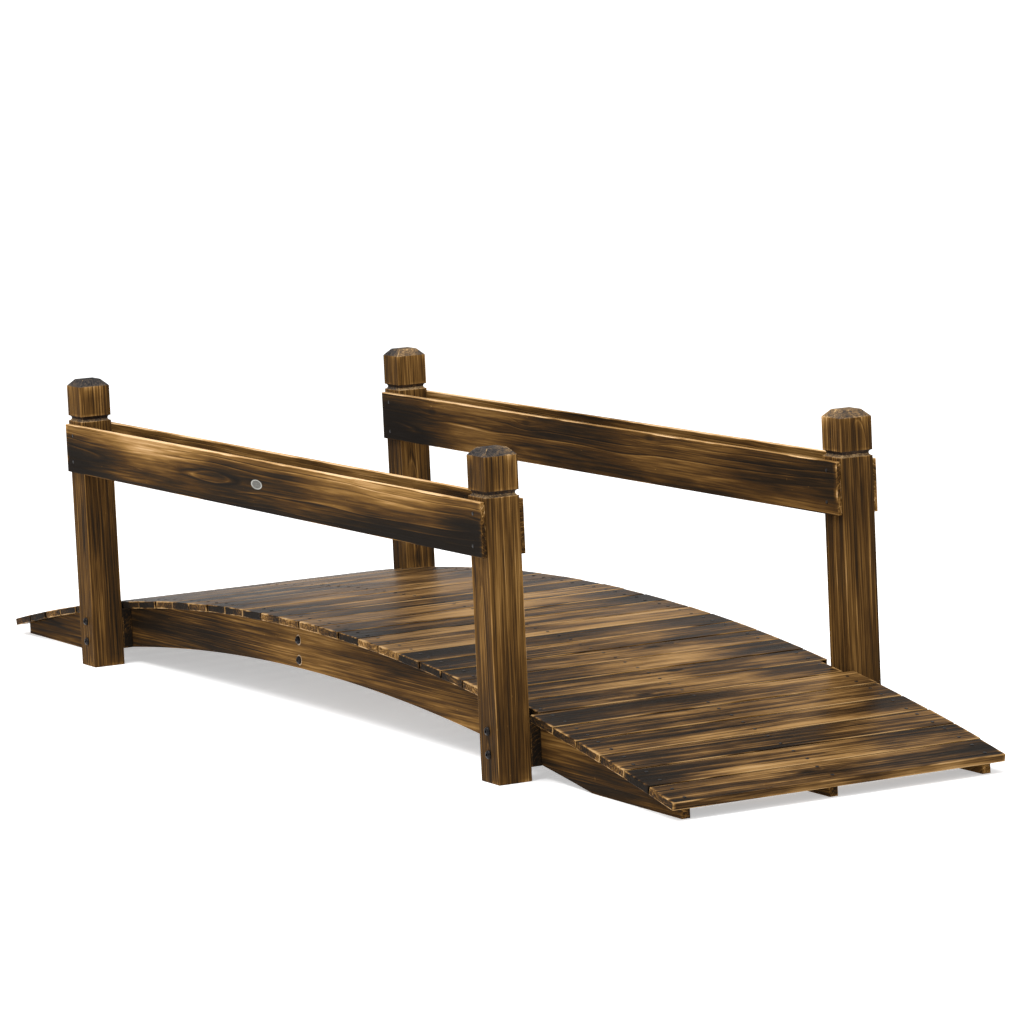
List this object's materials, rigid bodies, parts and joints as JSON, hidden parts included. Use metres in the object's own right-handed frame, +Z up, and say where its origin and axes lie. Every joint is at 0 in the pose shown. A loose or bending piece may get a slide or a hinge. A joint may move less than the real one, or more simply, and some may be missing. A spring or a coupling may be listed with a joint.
{
  "type": "wooden footbridge",
  "caption": "Low arched garden footbridge in charred fir: cross boards on curved stringers, square chamfered posts and double rail boards along both sides.",
  "frame": {"origin": "bottom centre of the overall box, on the ground", "axes": "+X along the span to the front end, +Y across to the left railing, +Z up"},
  "size_m": [2.3, 0.667, 0.484],
  "materials": {
    "charred_fir": "deeply charred and brushed fir, brown-black with thin golden streaks, satin",
    "scorched_fir": "scorched and stained fir with light cathedral grain and knots, satin",
    "deck_fir": "scorched and brushed fir boards, dark brown with golden streaks and pale worn edges, satin"
  },
  "bodies": {
    "root": {"stringer_right": "scorched_fir", "stringer_middle": "scorched_fir", "stringer_left": "scorched_fir", "rail_right_outer": "scorched_fir", "rail_right_inner": "scorched_fir", "rail_left_inner": "scorched_fir", "rail_left_outer": "scorched_fir", "post_packers": "charred_fir", "post_front_right": "charred_fir", "post_back_right": "charred_fir", "post_back_left": "charred_fir", "post_front_left": "charred_fir", "deck_board_01": "deck_fir", "deck_board_02": "deck_fir", "deck_board_03": "deck_fir", "deck_board_04": "deck_fir", "deck_board_05": "deck_fir", "deck_board_06": "deck_fir", "deck_board_07": "deck_fir", "deck_board_08": "deck_fir", "deck_board_09": "deck_fir", "deck_board_10": "deck_fir", "deck_board_11": "deck_fir", "deck_board_12": "deck_fir", "deck_board_13": "deck_fir", "deck_board_14": "deck_fir", "deck_board_15": "deck_fir", "deck_board_16": "deck_fir", "deck_board_17": "deck_fir", "deck_board_18": "deck_fir", "deck_board_19": "deck_fir", "deck_board_20": "deck_fir", "deck_board_21": "deck_fir", "deck_board_22": "deck_fir", "deck_board_23": "deck_fir", "deck_board_24": "deck_fir", "deck_board_25": "deck_fir", "deck_board_26": "deck_fir", "deck_board_27": "deck_fir", "deck_board_28": "deck_fir", "deck_board_29": "deck_fir", "deck_board_30": "deck_fir", "deck_board_31": "deck_fir", "deck_board_32": "deck_fir", "deck_board_33": "deck_fir", "deck_board_34": "deck_fir"}
  },
  "joints": []
}
